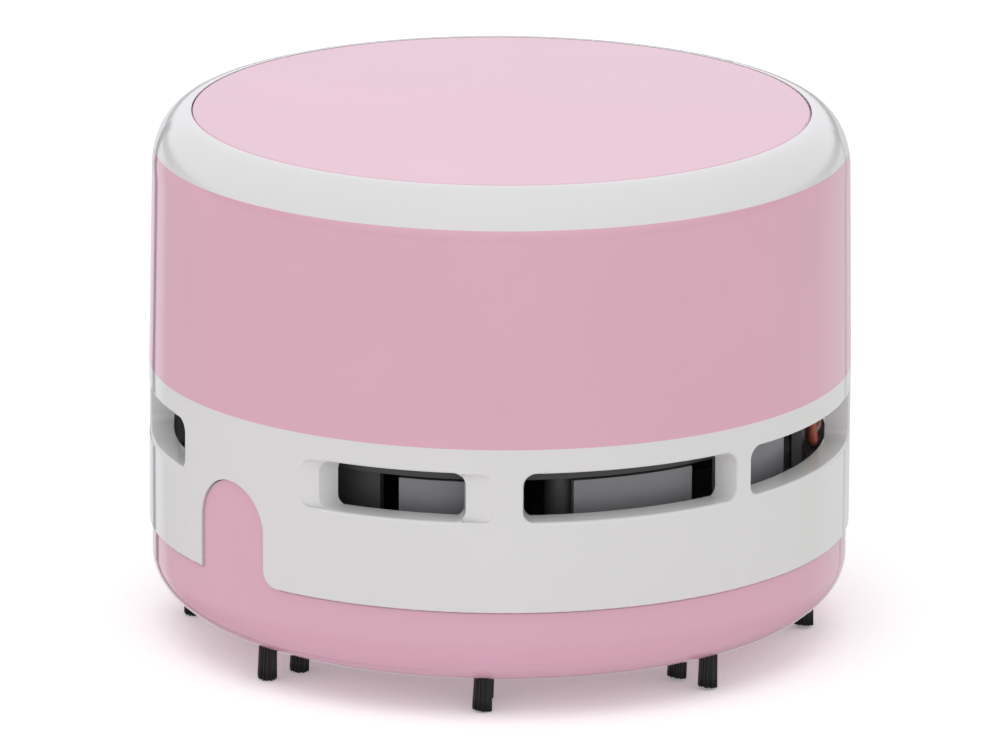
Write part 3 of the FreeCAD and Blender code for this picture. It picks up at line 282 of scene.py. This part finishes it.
def make_materials():
    """All the materials of the object, by the record's slot."""
    pink = (0.640, 0.370, 0.458)
    white = (0.640, 0.632, 0.630)
    shell = {"grain": 700.0, "relief": 0.0000012}
    satin = {"grain": 1500.0, "relief": 0.00001}
    cast = {"grain": 2500.0, "relief": 0.00002}
    return {
        "pink_shell": moulded("pink_plastic", pink, 0.07, 0.02, 0.012, **shell),
        "white_shell": moulded("white_plastic", white, 0.06, 0.02, 0.012, **shell),
        "bristle_nylon": moulded("black_nylon", (0.016, 0.016, 0.018), 0.34, 0.08, 0.3),
        "dark_plastic": moulded("dark_plastic", (0.075, 0.072, 0.070), 0.42, 0.08, 0.1, **satin),
        "grey_plastic": moulded("grey_plastic", (0.260, 0.256, 0.275), 0.34, 0.06, 0.04, **satin),
        "filter_fleece": fleece("filter_fleece", (0.72, 0.72, 0.70)),
        "motor_steel": brushed("motor_steel", (0.55, 0.55, 0.56), 0.32, (1, 1, 0.15)),
        "end_cap_plastic": moulded("end_cap_plastic", (0.78, 0.77, 0.71), 0.45, 0.06, 0.03),
        "bronze": brushed("bronze", (0.50, 0.30, 0.14), 0.42, (1, 1, 1)),
        "ferrite": moulded("ferrite", (0.022, 0.022, 0.024), 0.6, 0.1, 0.3, **cast),
        "nickel": brushed("nickel_sheet", (0.66, 0.64, 0.60), 0.22, (0.2, 1, 1)),
        "brass": brushed("tinned_brass", (0.62, 0.54, 0.36), 0.34, (1, 1, 0.2)),
        "screw_steel": brushed("screw_steel", (0.46, 0.46, 0.47), 0.35, (1, 1, 0.3)),
        "cell_jacket": cell_jacket("cell_jacket", (0.05, 0.17, 0.13), (0.70, 0.69, 0.66)),
        "red_insulation": moulded("red_insulation", (0.38, 0.09, 0.04), 0.42, 0.05, 0.06),
        "blue_insulation": moulded("blue_insulation", (0.05, 0.10, 0.32), 0.42, 0.05, 0.06),
    }


def dress_nodes(materials):
    """Give every node of the frame the material of its slot."""
    for part in frame["record"]["subparts"]:
        node = frame["nodes"][part["node"]]
        node.data.materials.clear()
        node.data.materials.append(materials[part["material_slot"]])


def new_piece(name, vertices, faces, smooth=True):
    """Object in the scene from its points and faces."""
    mesh = bpy.data.meshes.new(name)
    mesh.from_pydata(vertices, [], faces)
    mesh.update()
    for face in mesh.polygons:
        face.use_smooth = smooth
    piece = bpy.data.objects.new(name, mesh)
    bpy.context.scene.collection.objects.link(piece)
    return piece


# Bristles

def filament(vertices, faces, root, tip, bend):
    """Thin five-sided nylon thread from root to tip, bent a little towards one side."""
    first = len(vertices)
    for ring in range(FILAMENT_RINGS):
        share = ring / (FILAMENT_RINGS - 1)
        centre = root.lerp(tip, share) + bend * (share * share)
        for side in range(FILAMENT_SIDES):
            angle = math.tau * side / FILAMENT_SIDES
            vertices.append(centre + Vector((math.cos(angle), math.sin(angle), 0)) * FILAMENT_RADIUS)
    for ring in range(FILAMENT_RINGS - 1):
        for side in range(FILAMENT_SIDES):
            nearer = first + ring * FILAMENT_SIDES + side
            further = first + ring * FILAMENT_SIDES + (side + 1) % FILAMENT_SIDES
            faces.append((nearer, nearer + FILAMENT_SIDES, further + FILAMENT_SIDES, further))
    last = first + (FILAMENT_RINGS - 1) * FILAMENT_SIDES
    faces.append(tuple(range(first, first + FILAMENT_SIDES)))
    faces.append(tuple(reversed(range(last, last + FILAMENT_SIDES))))


def bristle_ring(node, circle, dice):
    """All tufts of one circle as bundles of filaments that lean a little and are cut aslant."""
    vertices, faces = [], []
    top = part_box(node)[1].z
    golden = math.pi * (3 - math.sqrt(5))
    for tuft in range(TUFT_COUNT):
        azimuth = TUFT_PHASE + 360 / TUFT_COUNT * tuft
        centre = polar(circle, azimuth)
        slant = polar(1, azimuth - 90 + dice.uniform(-TUFT_SLANT_SPREAD, TUFT_SLANT_SPREAD))
        slope = dice.uniform(*TUFT_SLOPES)
        stray = Vector((dice.uniform(-1, 1), dice.uniform(-1, 1), 0))
        lean = slant * TUFT_LEAN + stray * TUFT_LEAN_SPREAD
        for k in range(FILAMENT_COUNT):
            reach = (TUFT_RADIUS - FILAMENT_RADIUS) * math.sqrt((k + 0.5) / FILAMENT_COUNT)
            spot = Vector((math.cos(golden * k), math.sin(golden * k), 0)) * reach
            cut = (spot.dot(slant) + TUFT_RADIUS) * slope + dice.uniform(0, TUFT_RAGGEDNESS)
            root = centre + spot * TUFT_ROOT_SHARE + Vector((0, 0, top))
            tip = centre + spot * TUFT_FLARE + lean + Vector((0, 0, cut))
            bend = Vector((dice.uniform(-1, 1), dice.uniform(-1, 1), 0)) * FILAMENT_BEND
            filament(vertices, faces, root, tip, bend)
    return new_piece(node + "_filaments", vertices, faces)


def make_bristles(materials):
    """Filament bundles in place of the plain tufts."""
    dice = random.Random(FILAMENT_SEED)
    for node, circle in TUFT_CIRCLES.items():
        piece = bristle_ring(node, circle, dice)
        piece.data.materials.append(materials["bristle_nylon"])
        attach(piece, "base")
        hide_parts(node)


# Skin over the roots of the release tabs

def root_skin(side, body, materials):
    """Thin skin that carries the base's surface on into a tab, as in the one-piece moulding."""
    columns, rows = SKIN_COLUMNS, SKIN_ROWS
    vertices, faces, normals = [], [], []
    fillet_y = -TAB_WIDTH / 2 - TAB_ROOT_FILLET
    low, high = PARTING - SKIN_BELOW, PARTING + SKIN_ABOVE
    for outer in (True, False):
        for row in range(rows + 1):
            height = low + (high - low) * row / rows
            ebb = (2 * row / rows - 1) ** 4
            layer = SKIN_PROUD - (SKIN_PROUD + SKIN_SINK) * ebb if outer else -SKIN_DEPTH
            drop = max(0.0, PARTING + TAB_ROOT_FILLET - max(height, PARTING))
            inset = math.sqrt(max(0.0, TAB_ROOT_FILLET ** 2 - drop ** 2))
            start, end = fillet_y + inset, TAB_WIDTH / 2
            for column in range(columns + 1):
                y = start + (end - start) * column / columns
                radius = BASE_RADIUS + layer
                x = -math.sqrt(radius ** 2 - y ** 2)
                vertices.append((side * x, side * y, height))
                normals.append((side * x / radius, side * y / radius, 0))
    wide = columns + 1
    sheet = wide * (rows + 1)
    for row in range(rows):
        for column in range(columns):
            a = row * wide + column
            faces.append((a, a + wide, a + wide + 1, a + 1))
            faces.append((a + sheet, a + sheet + 1, a + sheet + wide + 1, a + sheet + wide))
    rim = list(range(wide))
    rim += [row * wide + columns for row in range(1, rows + 1)]
    rim += [rows * wide + column for column in range(columns - 1, -1, -1)]
    rim += [row * wide for row in range(rows - 1, 0, -1)]
    for a, b in zip(rim, rim[1:] + rim[:1]):
        faces.append((a, b, b + sheet, a + sheet))
    piece = new_piece(body + "_root_skin", vertices, faces)
    piece.data.normals_split_custom_set_from_vertices(normals)
    piece.data.materials.append(materials["pink_shell"])
    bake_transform(piece)


# Floor, world, lights and camera

def make_floor():
    """Large white floor that keeps the object's shadow."""
    corners = [(-FLOOR_HALF, -FLOOR_HALF, 0), (FLOOR_HALF, -FLOOR_HALF, 0),
               (FLOOR_HALF, FLOOR_HALF, 0), (-FLOOR_HALF, FLOOR_HALF, 0)]
    floor = new_piece("floor", corners, [(0, 1, 2, 3)], smooth=False)
    material, tree, output = new_material("floor_white")
    matt = add(tree, "ShaderNodeBsdfDiffuse")
    matt.inputs["Color"].default_value = (FLOOR_ALBEDO, FLOOR_ALBEDO, FLOOR_ALBEDO, 1)
    lift = add(tree, "ShaderNodeEmission")
    lift.inputs["Strength"].default_value = FLOOR_LIFT
    both = add(tree, "ShaderNodeAddShader")
    tree.links.new(matt.outputs["BSDF"], both.inputs[0])
    tree.links.new(lift.outputs["Emission"], both.inputs[1])
    tree.links.new(both.outputs["Shader"], output.inputs["Surface"])
    floor.data.materials.append(material)
    floor.visible_glossy = False


def ramp(tree, value, stops):
    """Ramp through (place, colour) stops."""
    node = add(tree, "ShaderNodeValToRGB")
    elements = node.color_ramp.elements
    while len(elements) < len(stops):
        elements.new(0.5)
    for element, (place, colour) in zip(elements, stops):
        element.position = place
        element.color = (*colour, 1)
    tree.links.new(value, node.inputs["Fac"])
    return node.outputs["Color"]


def gloss_tent(tree):
    """Colour of the pale tent that gloss sees, with a dark gap on both sides and at the horizon."""
    place = add(tree, "ShaderNodeTexCoord")
    turn = add(tree, "ShaderNodeVectorRotate", rotation_type="Z_AXIS")
    turn.inputs["Angle"].default_value = -math.radians(VIEW_AZIMUTH)
    split = add(tree, "ShaderNodeSeparateXYZ")
    aside = add(tree, "ShaderNodeMath", operation="ABSOLUTE")
    swing = add(tree, "ShaderNodeMath", operation="ARCTAN2")
    share = add(tree, "ShaderNodeMath", operation="DIVIDE")
    share.inputs[1].default_value = math.pi
    right = add(tree, "ShaderNodeMath", operation="GREATER_THAN")
    right.inputs[1].default_value = 0.0
    height = add(tree, "ShaderNodeMath", operation="MULTIPLY_ADD")
    height.inputs[1].default_value = 0.5
    height.inputs[2].default_value = 0.5
    tree.links.new(place.outputs["Generated"], turn.inputs["Vector"])
    tree.links.new(turn.outputs["Vector"], split.inputs["Vector"])
    tree.links.new(split.outputs["X"], aside.inputs[0])
    tree.links.new(split.outputs["X"], right.inputs[0])
    tree.links.new(split.outputs["Z"], height.inputs[0])
    tree.links.new(aside.outputs["Value"], swing.inputs[0])
    tree.links.new(split.outputs["Y"], swing.inputs[1])
    tree.links.new(swing.outputs["Value"], share.inputs[0])
    sides = add(tree, "ShaderNodeMix", data_type="RGBA")
    tree.links.new(right.outputs["Value"], sides.inputs["Factor"])
    tree.links.new(ramp(tree, share.outputs["Value"], GLOSS_LEFT), sides.inputs["A"])
    tree.links.new(ramp(tree, share.outputs["Value"], GLOSS_RIGHT), sides.inputs["B"])
    around = add(tree, "ShaderNodeMix", data_type="RGBA", blend_type="MULTIPLY")
    around.inputs["Factor"].default_value = 1.0
    tree.links.new(sides.outputs["Result"], around.inputs["A"])
    tree.links.new(ramp(tree, height.outputs["Value"], GLOSS_HORIZON), around.inputs["B"])
    tent = add(tree, "ShaderNodeMix", data_type="RGBA")
    tent.inputs["B"].default_value = (*GLOSS_TOP, 1)
    tree.links.new(ramp(tree, height.outputs["Value"], GLOSS_ABOVE), tent.inputs["Factor"])
    tree.links.new(around.outputs["Result"], tent.inputs["A"])
    return tent.outputs["Result"]


def background(tree, strength):
    """White background of a strength."""
    node = add(tree, "ShaderNodeBackground")
    node.inputs["Color"].default_value = (1, 1, 1, 1)
    node.inputs["Strength"].default_value = strength
    return node


def make_world():
    """White surroundings: the camera sees white, gloss sees the tent, all else is lit evenly."""
    world = bpy.data.worlds.new("studio")
    world.use_nodes = True
    bpy.context.scene.world = world
    tree = world.node_tree
    tree.nodes.clear()
    output = add(tree, "ShaderNodeOutputWorld")
    seen = add(tree, "ShaderNodeBackground")
    tree.links.new(gloss_tent(tree), seen.inputs["Color"])
    white = background(tree, WORLD_WHITE)
    light = background(tree, WORLD_LIGHT)
    path = add(tree, "ShaderNodeLightPath")
    gloss = add(tree, "ShaderNodeMixShader")
    final = add(tree, "ShaderNodeMixShader")
    tree.links.new(path.outputs["Is Glossy Ray"], gloss.inputs["Fac"])
    tree.links.new(light.outputs["Background"], gloss.inputs[1])
    tree.links.new(seen.outputs["Background"], gloss.inputs[2])
    tree.links.new(path.outputs["Is Camera Ray"], final.inputs["Fac"])
    tree.links.new(gloss.outputs["Shader"], final.inputs[1])
    tree.links.new(white.outputs["Background"], final.inputs[2])
    tree.links.new(final.outputs["Shader"], output.inputs["Surface"])


def make_top_light():
    """Large soft light over the object."""
    data = bpy.data.lights.new("top_light", "AREA")
    data.shape = "DISK"
    data.size = TOP_LIGHT_SIZE
    data.energy = TOP_LIGHT_POWER
    lamp = bpy.data.objects.new("top_light", data)
    bpy.context.scene.collection.objects.link(lamp)
    lamp.location = polar(TOP_LIGHT_OUT, TOP_LIGHT_AZIMUTH, TOP_LIGHT_HEIGHT)
    lamp.rotation_euler = (-lamp.location).to_track_quat("-Z", "Y").to_euler()
    lamp.visible_glossy = False


def make_camera():
    """Camera at the photograph's place, with its long lens and slight roll."""
    elevation = math.radians(VIEW_ELEVATION)
    azimuth = math.radians(VIEW_AZIMUTH)
    away = Vector((math.sin(azimuth) * math.cos(elevation), -math.cos(azimuth) * math.cos(elevation),
                   math.sin(elevation)))
    right = Vector((math.cos(azimuth), math.sin(azimuth), 0))
    up = away.cross(right)
    roll = math.radians(VIEW_ROLL)
    rolled_right = right * math.cos(roll) + up * math.sin(roll)
    rolled_up = up * math.cos(roll) - right * math.sin(roll)
    data = bpy.data.cameras.new("camera")
    data.sensor_width = SENSOR_WIDTH
    data.lens = LENS
    data.clip_end = CLIP_END
    camera = bpy.data.objects.new("camera", data)
    bpy.context.scene.collection.objects.link(camera)
    turn = Matrix((rolled_right, rolled_up, away)).transposed().to_4x4()
    camera.matrix_world = Matrix.Translation(VIEW_TARGET + away * VIEW_DISTANCE) @ turn
    bpy.context.scene.camera = camera


materials = make_materials()
dress_nodes(materials)
make_bristles(materials)
root_skin(1, "left_tab", materials)
root_skin(-1, "right_tab", materials)
make_floor()
make_world()
make_top_light()
make_camera()
bpy.context.scene.view_settings.view_transform = "Standard"
